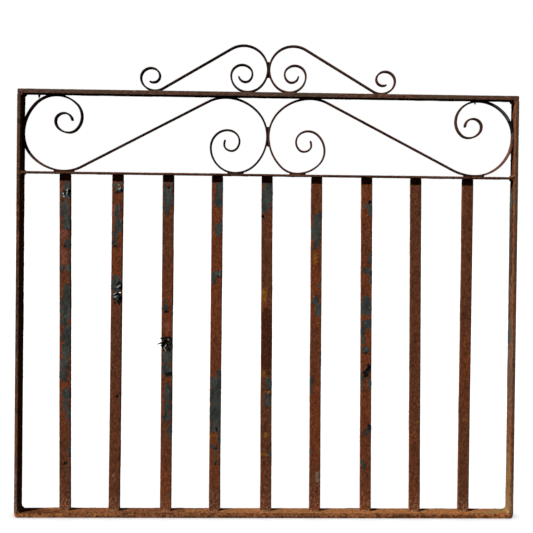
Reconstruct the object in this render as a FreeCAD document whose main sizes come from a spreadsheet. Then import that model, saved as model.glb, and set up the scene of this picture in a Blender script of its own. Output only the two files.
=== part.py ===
import FreeCAD, Part
import Sketcher
import math
import os

# Garden gate leaf: an arc-welded frame of flat steel bar with vertical slats, a panel of bent
# scrolls under the top rail and a crest of smaller scrolls on top of it.
# Frame of the part: X runs along the gate, Y through its depth (front face at -Y), +Z up.
# The origin is at the middle of the underside of the bottom rail. All sizes are in millimetres.

Vector = FreeCAD.Vector
LEFT, RIGHT = -1, 1
SLAT_COUNT = 9

# ---------------------------------------------------------------- driving sizes
FRAME_SIZES = {
    "gate_width": 915,  # over the two stiles
    "frame_height": 780,  # over the two rails, crest left out
    "frame_depth": 25,  # width of the flat bar that stands on edge
    "rail_thickness": 8,
    "stile_thickness": 6,
    "lower_corner_radius": 6,
    "panel_height": 141,  # clear height between the top rail and the mid rail
    "mid_rail_thickness": 4.5,
}
SLAT_SIZES = {
    "slat_width": 20,
    "slat_thickness": 5,
    "slat_setback": 12,  # from the front of the frame to the face of the slats
}
SCROLL_SIZES = {
    "scroll_thickness": 3,
    "scroll_depth": 10,  # width of the scroll bar, through the gate
    "scroll_meeting_place": -3.5,  # X where the two scrolls of each pair touch
}
WELD_SIZES = {
    "corner_weld_leg": 5,
    "mid_rail_weld_leg": 3.5,
    "slat_weld_leg": 2.5,
    "slat_weld_inset": 2,  # the slat welds stop this far short of the slat's edges
    "scroll_weld_root": 0.4,  # the wedge beside a scroll's touching point is filled from this gap
    "scroll_weld_throat": 2.2,  # to this gap
    "scroll_weld_depth": 8,
}

# Slats were set by eye. Each pair is how far the foot and the head stand off the even pitch.
SLAT_DRIFT = [
    (0.4, -4.5),
    (-2.0, -0.7),
    (0.1, -0.8),
    (-2.2, -3.2),
    (0.3, -3.9),
    (-1.4, -4.7),
    (0.7, -4.4),
    (-0.3, -5.5),
    (-1.5, -1.0),
]

# A scroll is given by its turning points, where the bar's centre line runs level or upright.
# "away" is measured from the stile for an outer loop, and from the meeting place of the pair for
# an inner loop. "up" is measured from the middle of the panel, or from the top rail for the crest.
# A touching point has no size across its contact: that place follows from what the bar touches.
PANEL_SCROLL = {
    "panel_outer_foot_away": 74,  # touches the mid rail
    "panel_outer_side_up": 1.1,  # touches the stile
    "panel_outer_head_away": 63.5,  # touches the top rail
    "panel_outer_curl_side_away": 107.9,
    "panel_outer_curl_side_up": 30.1,
    "panel_outer_curl_base_away": 83.9,
    "panel_outer_curl_base_up": 0.8,
    "panel_outer_eye_side_away": 59.8,
    "panel_outer_eye_side_up": 21.5,
    "panel_outer_eye_top_away": 75.7,
    "panel_outer_eye_top_up": 36.5,
    "panel_outer_tip_away": 90.2,
    "panel_outer_tip_up": 20.4,
    "panel_inner_head_away": 78.2,  # touches the top rail
    "panel_inner_side_up": -1.0,  # touches the other scroll of the pair
    "panel_inner_foot_away": 56.8,  # touches the mid rail
    "panel_inner_curl_side_away": 104.7,
    "panel_inner_curl_side_up": -25.1,
    "panel_inner_curl_top_away": 73.9,
    "panel_inner_curl_top_up": 9.3,
    "panel_inner_eye_side_away": 52,
    "panel_inner_eye_side_up": -10.9,
    "panel_inner_eye_base_away": 66.6,
    "panel_inner_eye_base_up": -28.7,
    "panel_inner_eye_back_away": 80.1,
    "panel_inner_eye_back_up": -17.3,
    "panel_inner_tip_away": 78.2,
    "panel_inner_tip_up": -8.6,
    "panel_lower_bend_radius": 76,  # from the outer loop's foot into the straight run
    "panel_upper_bend_radius": 68,  # from the straight run into the inner loop's head
}
CREST_SCROLL = {
    "crest_outer_foot_away": 207.5,  # touches the top rail
    "crest_outer_side_away": 233.3,
    "crest_outer_side_up": 24.6,
    "crest_outer_head_away": 214.8,
    "crest_outer_head_up": 42.6,
    "crest_outer_eye_side_away": 198.8,
    "crest_outer_eye_side_up": 27.9,
    "crest_outer_eye_base_away": 210.7,
    "crest_outer_eye_base_up": 16.4,
    "crest_outer_tip_away": 217.5,
    "crest_outer_tip_up": 17.9,
    "crest_inner_head_away": 45.4,
    "crest_inner_head_up": 86.3,
    "crest_inner_side_up": 42.5,  # touches the other scroll of the pair
    "crest_inner_foot_away": 38.7,  # touches the top rail
    "crest_inner_curl_side_away": 68.6,
    "crest_inner_curl_side_up": 31,
    "crest_inner_curl_top_away": 48.6,
    "crest_inner_curl_top_up": 50.9,
    "crest_inner_eye_side_away": 29.6,
    "crest_inner_eye_side_up": 34.6,
    "crest_inner_eye_base_away": 42.3,
    "crest_inner_eye_base_up": 19.6,
    "crest_inner_tip_away": 54.9,
    "crest_inner_tip_up": 31.4,
    "crest_lower_bend_radius": 28,
    "crest_upper_bend_radius": 45,
}
# The panel scrolls were bent by hand, so the two aren't an exact mirror pair: the left one has
# these sizes larger by the amount given and the right one smaller.
HAND_BENT = {
    "panel_outer_foot_away": 2.6,
    "panel_outer_side_up": -2.8,
    "panel_outer_head_away": -3,
    "panel_inner_foot_away": 2.6,
    "panel_inner_curl_side_up": 2.1,
    "panel_lower_bend_radius": -12,
}


def write_sheet(doc, groups):
    """A spreadsheet with one named row for each driving size."""
    sheet = doc.addObject("Spreadsheet::Sheet", "Sizes")
    row = 1
    for group in groups:
        for name, value in group.items():
            sheet.set(f"A{row}", name)
            sheet.set(f"B{row}", str(value))
            sheet.setAlias(f"B{row}", name)
            row += 1
    return sheet


def drift_names(index):
    """The sheet's names for how far a slat's foot and head stand off the even pitch."""
    return f"slat_drift_foot_{index}", f"slat_drift_head_{index}"


drift_sizes = {}
for slat_index, pair in enumerate(SLAT_DRIFT, start=1):
    for drift_name, drift in zip(drift_names(slat_index), pair):
        drift_sizes[drift_name] = drift
hand_bent_sizes = {f"hand_bent_{name}": value for name, value in HAND_BENT.items()}

doc = FreeCAD.newDocument("garden_gate")
sheet = write_sheet(
    doc,
    [
        FRAME_SIZES,
        SLAT_SIZES,
        SCROLL_SIZES,
        WELD_SIZES,
        drift_sizes,
        PANEL_SCROLL,
        CREST_SCROLL,
        hand_bent_sizes,
    ],
)
doc.recompute()


def size(name):
    return float(getattr(sheet, name))


# ---------------------------------------------------------------- straight bars
SPAN = "(Sizes.gate_width / 2)"
CLEAR_SPAN = "(Sizes.gate_width / 2 - Sizes.stile_thickness)"
TOP_RAIL_UNDERSIDE = "(Sizes.frame_height - Sizes.rail_thickness)"
MID_RAIL_TOP = f"({TOP_RAIL_UNDERSIDE} - Sizes.panel_height)"
MID_RAIL_UNDERSIDE = f"({MID_RAIL_TOP} - Sizes.mid_rail_thickness)"
SLAT_GAP = (
    f"((2 * {CLEAR_SPAN} - {SLAT_COUNT} * Sizes.slat_width) / {SLAT_COUNT + 1})"
)


def origin_plane(body, role):
    for feature in body.Origin.OriginFeatures:
        if feature.Role == role:
            return feature
    raise RuntimeError(f"{body.Label} has no {role}")


def polygon_start(count):
    """A rough outline, which the sketch's constraints then pull to size."""
    radius = 100
    turns = [2 * math.pi * (i + 0.5) / count for i in range(count)]
    return [Vector(radius * math.cos(turn), radius * math.sin(turn), 0) for turn in turns]


def polygon_sketch(body, name, corners):
    """A closed outline on the body's XZ plane. Each corner is a pair of expressions, X and Z."""
    sketch = body.newObject("Sketcher::SketchObject", name)
    sketch.AttachmentSupport = (origin_plane(body, "XZ_Plane"), [""])
    sketch.MapMode = "FlatFace"
    count = len(corners)
    rough = polygon_start(count)
    for i in range(count):
        sketch.addGeometry(Part.LineSegment(rough[i], rough[(i + 1) % count]), False)
    for i in range(count):
        sketch.addConstraint(Sketcher.Constraint("Coincident", i, 2, (i + 1) % count, 1))
    for i, (x_size, z_size) in enumerate(corners):
        start = rough[i]
        for kind, distance, value in (
            ("DistanceX", start.x, x_size),
            ("DistanceY", start.y, z_size),
        ):
            number = sketch.addConstraint(Sketcher.Constraint(kind, -1, 1, i, 1, distance))
            sketch.setExpression(f"Constraints[{number}]", value)
    return sketch


def bar_body(label, corners, thickness, middle=None):
    """A pad of the outline, middle millimetres behind the gate's mid plane, as a body."""
    body = doc.addObject("PartDesign::Body", label)
    body.Label = label
    sketch = polygon_sketch(body, f"{label}_outline", corners)
    pad = body.newObject("PartDesign::Pad", f"{label}_pad")
    pad.Profile = sketch
    pad.Midplane = True
    pad.setExpression("Length", thickness)
    if middle:
        body.setExpression("Placement.Base.y", middle)
    return body


def rectangle(low_x, high_x, low_z, high_z):
    """Four corners, counter-clockwise from the upper right, as the rough outline has them."""
    return [(high_x, high_z), (low_x, high_z), (low_x, low_z), (high_x, low_z)]


def round_lower_corners(body, radius):
    """Rounds the two bottom edges that run through the gate's depth at its outer corners."""
    pad = body.Tip
    doc.recompute()
    edges = []
    for i, edge in enumerate(pad.Shape.Edges, start=1):
        start, end = edge.Vertexes[0].Point, edge.Vertexes[-1].Point
        runs_through = abs(start.x - end.x) < 1e-6 and abs(start.z - end.z) < 1e-6
        if runs_through and abs(start.z) < 1e-6:
            edges.append(f"Edge{i}")
    fillet = body.newObject("PartDesign::Fillet", f"{body.Label}_corners")
    fillet.Base = (pad, edges)
    fillet.setExpression("Radius", radius)


def make_frame():
    depth = "Sizes.frame_depth"
    bottom = bar_body(
        "bottom_rail", rectangle(f"-{SPAN}", SPAN, "0", "Sizes.rail_thickness"), depth
    )
    round_lower_corners(bottom, "Sizes.lower_corner_radius")
    top = bar_body(
        "top_rail",
        rectangle(f"-{SPAN}", SPAN, TOP_RAIL_UNDERSIDE, "Sizes.frame_height"),
        depth,
    )
    left = bar_body(
        "left_stile",
        rectangle(f"-{SPAN}", f"-{CLEAR_SPAN}", "Sizes.rail_thickness", TOP_RAIL_UNDERSIDE),
        depth,
    )
    right = bar_body(
        "right_stile",
        rectangle(CLEAR_SPAN, SPAN, "Sizes.rail_thickness", TOP_RAIL_UNDERSIDE),
        depth,
    )
    middle = bar_body(
        "mid_rail",
        rectangle(f"-{CLEAR_SPAN}", CLEAR_SPAN, MID_RAIL_UNDERSIDE, MID_RAIL_TOP),
        depth,
    )
    return [bottom, top, left, right, middle]


def slat_middle(index):
    """The even place of a slat's centre line along the gate, as an expression."""
    pitches = f"({index - 1} * (Sizes.slat_width + {SLAT_GAP}))"
    return f"(-{CLEAR_SPAN} + {SLAT_GAP} + Sizes.slat_width / 2 + {pitches})"


def make_slats():
    slats = []
    back_of_face = "-Sizes.frame_depth / 2 + Sizes.slat_setback + Sizes.slat_thickness / 2"
    for index in range(1, SLAT_COUNT + 1):
        foot_name, head_name = drift_names(index)
        foot = f"{slat_middle(index)} + Sizes.{foot_name}"
        head = f"{slat_middle(index)} + Sizes.{head_name}"
        half = "Sizes.slat_width / 2"
        corners = [
            (f"{head} + {half}", MID_RAIL_UNDERSIDE),
            (f"{head} - {half}", MID_RAIL_UNDERSIDE),
            (f"{foot} - {half}", "Sizes.rail_thickness"),
            (f"{foot} + {half}", "Sizes.rail_thickness"),
        ]
        slats.append(
            bar_body(f"slat_{index}", corners, "Sizes.slat_thickness", back_of_face)
        )
    return slats


# ---------------------------------------------------------------- scrolls
class BentArm:
    """One arm of a flat bar on edge, bent along straight runs and tangent arcs in the XZ plane.

    The centre line is drawn by moving ahead and bending to the left, and the two faces of the bar
    are drawn with it, half a thickness to each side.
    """

    def __init__(self, start, heading, thickness):
        self.place = Vector(start[0], 0, start[1])
        self.heading = heading
        self.half = thickness / 2
        self.edges = []
        self.last_radius = None
        self.touches = {}
        self.open_name = None

    def forward(self):
        return Vector(math.cos(self.heading), 0, math.sin(self.heading))

    def left(self, heading=None):
        angle = self.heading if heading is None else heading
        return Vector(-math.sin(angle), 0, math.cos(angle))

    def ahead(self, length):
        end = self.place + self.forward() * length
        for offset in (self.left() * self.half, self.left() * -self.half):
            self.edges.append(Part.makeLine(self.place + offset, end + offset))
        self.place = end

    def bend(self, radius, turn):
        """An arc of the radius to the left, through the turn in radians."""
        centre = self.place + self.left() * radius
        headings = [self.heading + turn * share for share in (0, 0.5, 1)]
        for reach in (radius - self.half, radius + self.half):
            points = [centre - self.left(heading) * reach for heading in headings]
            self.edges.append(Part.Arc(*points).toShape())
        self.heading += turn
        self.place = centre - self.left() * radius
        self.last_radius = radius

    def quarter(self, end, touching=None):
        """A quarter turn to the end point, as two arcs of an eighth that meet in tangent."""
        run = Vector(end[0], 0, end[1]) - self.place
        along = run.dot(self.forward())
        across = run.dot(self.left())
        sine = math.sin(math.pi / 4)
        rise = 1 - math.cos(math.pi / 4)
        spread = sine**2 - rise**2
        first = (sine * along - rise * across) / spread
        second = (sine * across - rise * along) / spread
        self.close_touch(first)
        self.bend(first, math.pi / 4)
        self.bend(second, math.pi / 4)
        if touching:
            self.open_touch(touching)

    def tip(self, end):
        """One arc from here to the bar's end."""
        run = Vector(end[0], 0, end[1]) - self.place
        along = run.dot(self.forward())
        across = run.dot(self.left())
        radius = run.Length**2 / (2 * across)
        self.bend(radius, 2 * math.atan2(across, along))

    def open_touch(self, name):
        """Notes where the bar's outer face touches something, and its radius on both sides."""
        self.touches[name] = {
            "place": self.place - self.left() * self.half,
            "forward": self.forward(),
            "inward": self.left(),
            "radius_before": self.last_radius + self.half,
        }
        self.open_name = name

    def close_touch(self, radius):
        if self.open_name:
            self.touches[self.open_name]["radius_after"] = radius + self.half
            self.open_name = None

    def end_cap(self):
        offset = self.left() * self.half
        return Part.makeLine(self.place + offset, self.place - offset)


def straight_run(foot, lower_radius, head, upper_radius):
    """The run that leaves the bend over the foot and enters the bend under the head in tangent.

    Both bends turn the same way, so the run crosses between their centres. Returns its lower end,
    its slope towards the head and its length.
    """
    lower_centre = Vector(foot[0], 0, foot[1] + lower_radius)
    upper_centre = Vector(head[0], 0, head[1] - upper_radius)
    between = upper_centre - lower_centre
    lean = math.asin((lower_radius + upper_radius) / between.Length)
    slope = math.atan2(between.z, -between.x) + lean
    length = between.Length * math.cos(lean)
    outward = Vector(-math.sin(slope), 0, -math.cos(slope))
    start = lower_centre + outward * lower_radius
    return (start.x, start.z), slope, length


def bend_scroll(outer, inner, lower_radius, upper_radius, thickness):
    """A scroll whose arms both turn left, away from one straight run between their loops.

    Each loop is its first turning point, the rest of them and its tip. A turning point is a
    place and, if the bar touches something there, a name for the touch.
    """
    start, slope, length = straight_run(outer[0][0], lower_radius, inner[0][0], upper_radius)
    outer_arm = BentArm(start, -slope, thickness)
    outer_arm.bend(lower_radius, slope)
    inner_arm = BentArm(start, math.pi - slope, thickness)
    inner_arm.ahead(length)
    inner_arm.bend(upper_radius, slope)
    for arm, loop in ((outer_arm, outer), (inner_arm, inner)):
        if loop[0][1]:
            arm.open_touch(loop[0][1])
        for place, touching in loop[1:-1]:
            arm.quarter(place, touching)
        arm.tip(loop[-1][0])
    return outer_arm, inner_arm


def bar_solid(arms, depth):
    edges = [edge for arm in arms for edge in arm.edges + [arm.end_cap()]]
    face = Part.Face(Part.Wire(Part.__sortEdges__(edges)))
    face.translate(Vector(0, -depth / 2, 0))
    return face.extrude(Vector(0, depth, 0))


def to_side(shape, side):
    """Moves a scroll's shape, drawn on the right with the meeting place at X = 0, to its side."""
    placed = shape if side == RIGHT else shape.mirror(Vector(0, 0, 0), Vector(1, 0, 0))
    placed.translate(Vector(size("scroll_meeting_place"), 0, 0))
    return placed


TOP_OF_FRAME = size("frame_height")
UNDER_TOP_RAIL = TOP_OF_FRAME - size("rail_thickness")
OVER_MID_RAIL = UNDER_TOP_RAIL - size("panel_height")
UNDER_MID_RAIL = OVER_MID_RAIL - size("mid_rail_thickness")
STILE_FACE = size("gate_width") / 2 - size("stile_thickness")


def panel_arms(side):
    """The two arms of a panel scroll, drawn on the right from the meeting place at X = 0."""

    def bent(name):
        full_name = f"hand_bent_{name}"
        by_hand = size(full_name) if full_name in hand_bent_sizes else 0
        return size(name) - side * by_hand

    half = size("scroll_thickness") / 2
    reach = STILE_FACE - side * size("scroll_meeting_place")
    middle = (UNDER_TOP_RAIL + OVER_MID_RAIL) / 2

    def outer(name):
        return reach - bent(f"panel_outer_{name}_away"), middle + bent(f"panel_outer_{name}_up")

    def inner(name):
        return bent(f"panel_inner_{name}_away"), middle + bent(f"panel_inner_{name}_up")

    outer_loop = [
        ((reach - bent("panel_outer_foot_away"), OVER_MID_RAIL + half), "outer_foot"),
        ((reach - half, middle + bent("panel_outer_side_up")), "outer_side"),
        ((reach - bent("panel_outer_head_away"), UNDER_TOP_RAIL - half), "outer_head"),
        (outer("curl_side"), None),
        (outer("curl_base"), None),
        (outer("eye_side"), None),
        (outer("eye_top"), None),
        (outer("tip"), None),
    ]
    inner_loop = [
        ((bent("panel_inner_head_away"), UNDER_TOP_RAIL - half), "inner_head"),
        ((half, middle + bent("panel_inner_side_up")), "inner_side"),
        ((bent("panel_inner_foot_away"), OVER_MID_RAIL + half), "inner_foot"),
        (inner("curl_side"), None),
        (inner("curl_top"), None),
        (inner("eye_side"), None),
        (inner("eye_base"), None),
        (inner("eye_back"), None),
        (inner("tip"), None),
    ]
    return bend_scroll(
        outer_loop,
        inner_loop,
        bent("panel_lower_bend_radius"),
        size("panel_upper_bend_radius"),
        size("scroll_thickness"),
    )


def crest_arms():
    """The two arms of a crest scroll, drawn on the right from the meeting place at X = 0."""
    half = size("scroll_thickness") / 2

    def point(name):
        return size(f"crest_{name}_away"), TOP_OF_FRAME + size(f"crest_{name}_up")

    outer_loop = [
        ((size("crest_outer_foot_away"), TOP_OF_FRAME + half), "outer_foot"),
        (point("outer_side"), None),
        (point("outer_head"), None),
        (point("outer_eye_side"), None),
        (point("outer_eye_base"), None),
        (point("outer_tip"), None),
    ]
    inner_loop = [
        (point("inner_head"), None),
        ((half, TOP_OF_FRAME + size("crest_inner_side_up")), "inner_side"),
        ((size("crest_inner_foot_away"), TOP_OF_FRAME + half), "inner_foot"),
        (point("inner_curl_side"), None),
        (point("inner_curl_top"), None),
        (point("inner_eye_side"), None),
        (point("inner_eye_base"), None),
        (point("inner_tip"), None),
    ]
    return bend_scroll(
        outer_loop,
        inner_loop,
        size("crest_lower_bend_radius"),
        size("crest_upper_bend_radius"),
        size("scroll_thickness"),
    )


def feature(label, shape):
    made = doc.addObject("Part::Feature", label)
    made.Label = label
    made.Shape = shape
    return made


# ---------------------------------------------------------------- welds
def fillet_weld(corner, leg_one, leg_two, run):
    """A bead of three-cornered section, laid from the corner point along the run."""
    points = [corner, corner + leg_one, corner + leg_two, corner]
    return Part.Face(Part.makePolygon(points)).extrude(run)


def across_frame(x, z, leg, x_way, z_way):
    """A bead in an inside corner of the frame, along the whole depth of the bars."""
    depth = size("frame_depth")
    corner = Vector(x, -depth / 2, z)
    return fillet_weld(
        corner, Vector(x_way * leg, 0, 0), Vector(0, 0, z_way * leg), Vector(0, depth, 0)
    )


def corner_welds():
    leg = size("corner_weld_leg")
    beads = []
    for side in (LEFT, RIGHT):
        for height, up in ((size("rail_thickness"), 1), (UNDER_TOP_RAIL, -1)):
            beads.append(across_frame(side * STILE_FACE, height, leg, -side, up))
    return beads


def mid_rail_welds():
    leg = size("mid_rail_weld_leg")
    beads = []
    for side in (LEFT, RIGHT):
        for height, up in ((OVER_MID_RAIL, 1), (UNDER_MID_RAIL, -1)):
            beads.append(across_frame(side * STILE_FACE, height, leg, -side, up))
    return beads


def slat_place(index, end):
    """Where the middle of a slat's foot (0) or head (1) is along the gate."""
    width = size("slat_width")
    gap = (2 * STILE_FACE - SLAT_COUNT * width) / (SLAT_COUNT + 1)
    even = -STILE_FACE + gap + width / 2 + (index - 1) * (width + gap)
    return even + size(drift_names(index)[end])


def along_slat(index, end, y, height, y_way, z_way):
    """A bead across the width of a slat, where its face meets a rail."""
    leg = size("slat_weld_leg")
    length = size("slat_width") - 2 * size("slat_weld_inset")
    corner = Vector(slat_place(index, end) - length / 2, y, height)
    return fillet_weld(
        corner, Vector(0, y_way * leg, 0), Vector(0, 0, z_way * leg), Vector(length, 0, 0)
    )


SLAT_FACE = -size("frame_depth") / 2 + size("slat_setback")
SLAT_BACK = SLAT_FACE + size("slat_thickness")
FOOT, HEAD = 0, 1


def slat_foot_welds():
    beads = []
    for index in range(1, SLAT_COUNT + 1):
        for y, y_way in ((SLAT_FACE, -1), (SLAT_BACK, 1)):
            beads.append(along_slat(index, FOOT, y, size("rail_thickness"), y_way, 1))
    return beads


def slat_head_welds():
    return [
        along_slat(index, HEAD, SLAT_BACK, UNDER_MID_RAIL, 1, -1)
        for index in range(1, SLAT_COUNT + 1)
    ]


def wedge_weld(touch, way):
    """Fills the wedge between a bent bar and the flat that it touches, on one side of the touch.

    The fill starts where the gap is the weld's root and ends where it is the throat.
    """
    radius = touch["radius_after"] if way > 0 else touch["radius_before"]
    depth = size("scroll_weld_depth")
    gaps = [size("scroll_weld_root"), size("scroll_weld_throat")]
    middle_gap = sum(gaps) / 2
    on_flat, on_bar = [], []
    for gap in (gaps[0], middle_gap, gaps[1]):
        along = math.sqrt(radius**2 - (radius - gap) ** 2)
        place = touch["place"] + touch["forward"] * (way * along)
        on_flat.append(place)
        on_bar.append(place + touch["inward"] * gap)
    edges = [
        Part.makeLine(on_flat[0], on_flat[2]),
        Part.makeLine(on_flat[2], on_bar[2]),
        Part.Arc(*on_bar).toShape(),
        Part.makeLine(on_bar[0], on_flat[0]),
    ]
    face = Part.Face(Part.Wire(Part.__sortEdges__(edges)))
    face.translate(Vector(0, -depth / 2, 0))
    return face.extrude(Vector(0, depth, 0))


def touching_welds(arms, side):
    """The beads beside every touch of a scroll, those at the meeting place last."""
    single, shared = [], []
    for arm in arms:
        for name, touch in arm.touches.items():
            beads = [to_side(wedge_weld(touch, way), side) for way in (-1, 1)]
            (shared if name == "inner_side" else single).extend(beads)
    return single, shared


def scroll_welds(pairs):
    """All beads on the scrolls. At a meeting place the two halves of a bead are one solid."""
    beads = []
    for left_arms, right_arms in pairs:
        left_single, left_shared = touching_welds(left_arms, LEFT)
        right_single, right_shared = touching_welds(right_arms, RIGHT)
        beads += left_single + right_single
        for left_half, right_half in zip(left_shared, right_shared):
            beads.append(left_half.fuse(right_half).removeSplitter().Solids[0])
    return beads


# ---------------------------------------------------------------- the gate
def make_gate():
    parts = make_frame() + make_slats()
    depth = size("scroll_depth")
    panel = {side: panel_arms(side) for side in (LEFT, RIGHT)}
    crest = {side: crest_arms() for side in (LEFT, RIGHT)}
    for name, arms in (("panel_scroll", panel), ("crest_scroll", crest)):
        for side, hand in ((LEFT, "left"), (RIGHT, "right")):
            parts.append(feature(f"{name}_{hand}", to_side(bar_solid(arms[side], depth), side)))
    weld_groups = {
        "frame_corner_welds": corner_welds(),
        "mid_rail_welds": mid_rail_welds(),
        "slat_foot_welds": slat_foot_welds(),
        "slat_head_welds": slat_head_welds(),
        "scroll_welds": scroll_welds(
            [(panel[LEFT], panel[RIGHT]), (crest[LEFT], crest[RIGHT])]
        ),
    }
    for name, beads in weld_groups.items():
        parts.append(feature(name, Part.makeCompound(beads)))
    return parts


def check(parts):
    doc.recompute()
    for item in doc.Objects:
        if "Invalid" in item.State or "Error" in item.State:
            raise RuntimeError(f"{item.Label} failed: {item.State}")
    for item in parts:
        if item.Shape.isNull() or not item.Shape.isValid() or not item.Shape.Solids:
            raise RuntimeError(f"{item.Label} has no valid shape")


def write(parts):
    os.makedirs("parts", exist_ok=True)
    for item in parts:
        item.Shape.exportStep(f"parts/{item.Label}.step")
        box = item.Shape.BoundBox
        print(
            f"{item.Label}: {len(item.Shape.Solids)} solid(s), {item.Shape.Volume:.0f} mm3,"
            f" X {box.XMin:.1f} to {box.XMax:.1f}, Y {box.YMin:.1f} to {box.YMax:.1f},"
            f" Z {box.ZMin:.1f} to {box.ZMax:.1f}"
        )


gate_parts = make_gate()
check(gate_parts)
write(gate_parts)
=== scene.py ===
import math

import bmesh
import bpy
import numpy as np
from mathutils import Matrix, Vector, noise


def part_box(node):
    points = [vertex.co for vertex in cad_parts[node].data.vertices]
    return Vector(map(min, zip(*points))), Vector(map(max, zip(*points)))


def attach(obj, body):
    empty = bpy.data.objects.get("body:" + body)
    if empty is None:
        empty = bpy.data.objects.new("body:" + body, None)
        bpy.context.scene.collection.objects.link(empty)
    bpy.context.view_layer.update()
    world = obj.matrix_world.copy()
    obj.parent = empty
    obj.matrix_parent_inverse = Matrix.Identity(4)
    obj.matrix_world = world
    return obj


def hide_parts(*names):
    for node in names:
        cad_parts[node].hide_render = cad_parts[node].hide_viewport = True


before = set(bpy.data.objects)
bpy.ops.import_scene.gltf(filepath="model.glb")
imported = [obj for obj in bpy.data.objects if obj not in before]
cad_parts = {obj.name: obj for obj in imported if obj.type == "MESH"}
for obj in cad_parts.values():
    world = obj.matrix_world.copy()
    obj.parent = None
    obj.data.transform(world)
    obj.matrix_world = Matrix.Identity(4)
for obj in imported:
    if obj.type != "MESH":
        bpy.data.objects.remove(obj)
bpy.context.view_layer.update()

MM = 0.001
THROUGH = np.array((0.0, 1.0, 0.0))  # square to the gate's plane, from front to back

# The camera: where it stands, how it is turned, and how its picture is framed.
CAMERA_PLACE = Vector((-0.0004, -1.3077, 0.5739))
CAMERA_TURN = math.radians(1.29)  # towards +X
CAMERA_DIP = math.radians(0.55)
CAMERA_ROLL = math.radians(0.67)
CAMERA_LENS = 47.9  # mm, on a 36 mm wide sensor
CAMERA_SHIFT = (-0.0341, -0.1020)

# The lights: the way each one shines, its strength and how large it looks.
KEY_WAY = Vector((1.95, 1.0, -1.15))
KEY_STRENGTH = 6.07
KEY_SPREAD = math.radians(2.0)
FILLS = {
    "front_fill": (Vector((0.3, 1.0, 0.15)), 0.05, math.radians(60)),
    "back_fill": (Vector((0.25, -1.0, 0.0)), 2.4, math.radians(20)),
    "right_fill": (Vector((-1.0, 0.35, 0.0)), 0.30, math.radians(40)),
    "floor_bounce": (Vector((0.1, -0.1, 1.0)), 0.10, math.radians(80)),
}
FLOOR_STRENGTH = 4.4
FLOOR_HALF = 30.0  # half the floor's side, in metres

# The worn bars.
END_REACH = 8 * MM  # how much of a CAD bar's length counts as its end
GRAINS = ((9.0 * MM, 0), (4.2 * MM, 7), (1.9 * MM, 13))  # three sizes of rust lump, and a seed for each
RAGGED = (3.0, 3.2, 2.0)  # how ragged each of the three makes a mark's outline, in mm
SHARP_LAYERS = ("paint", "bare", "soot_and_shadow")
SHARP_FADE = 0.7  # mm to either side over which a sharp layer's outline fades
SOFT_FADE = 2.5
SOOT_AND_SHADOW_DEPTH = 0.35 * MM  # how deep the black spots and the painted shadows sit
WANDER_WAVE = 1 / 6  # metres from one lean of a bar to the next

# The paint flakes.
FLAKE_LIFT = 0.3  # how far a flake's held edge stands off the steel, in mm
FLAKE_ROLL = 1.7  # how much faster a flake rolls towards its free edge
FLAKE_THICK = 0.35 * MM
FLAKE_FINENESS = 1.8  # rows or columns of points to each mm
FLAKE_TEAR = 0.32  # how unevenly the free edge is torn, as a share of the reach
FLAKE_CRUMPLE = 0.6  # mm, at the free edge

# The weld beads.
RIPPLE_PITCH = 1.9 * MM
BEAD_LUMP = 3.5 * MM  # size of the lumps in a bead
DROP_LUMP = 0.35  # how uneven a drop is, as a share of its size
DROP_FORWARD = 2  # mm from the gate's middle plane towards the front

SLATS = [f"slat_{number}" for number in range(1, 10)]
SCROLLS = ["panel_scroll_left", "panel_scroll_right", "crest_scroll_left", "crest_scroll_right"]
WELDS = ["frame_corner_welds", "mid_rail_welds", "slat_foot_welds", "slat_head_welds", "scroll_welds"]


# ---------------------------------------------------------------- surface noise

def noise_at(points, size, seed=0.0):
    """Smooth noise, about -0.7 to 0.7, at each point, with features of that size in metres."""
    scaled = points / size + seed
    return np.array([noise.noise(point) for point in scaled.tolist()])


def soft_step(value, low, high):
    """0 below low, 1 above high, smooth between."""
    share = np.clip((value - low) / (high - low), 0.0, 1.0)
    return share * share * (3 - 2 * share)


# ---------------------------------------------------------------- marks on the bars
# A mark is (round, along, half_round, half_along) in millimetres. "round" runs round the bar's section
# from the middle of its front face: to its right or upper side when positive, and on round the corner.
# "along" is the height on an upright bar, X on a level one, and the length along a bent one.

def marked(marks, around, along, ragged):
    """How far inside the nearest mark each point is, in mm, with a ragged outline."""
    inside = np.full(around.shape, -50.0)
    for middle_round, middle_along, half_round, half_along in marks:
        away = np.abs((around - middle_round) / half_round) ** 3
        away += np.abs((along - middle_along) / half_along) ** 3
        depth = (1 - np.cbrt(away)) * min(half_round, half_along)
        inside = np.maximum(inside, depth)
    return inside + ragged


# grime_and_shade holds grime and painted shade.
# soot_and_shadow holds real dark spots and painted shadows.
LAYERS = ("paint", "bare", "primer", "soot_and_shadow", "ochre", "olive", "pale", "grime_and_shade")

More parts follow.
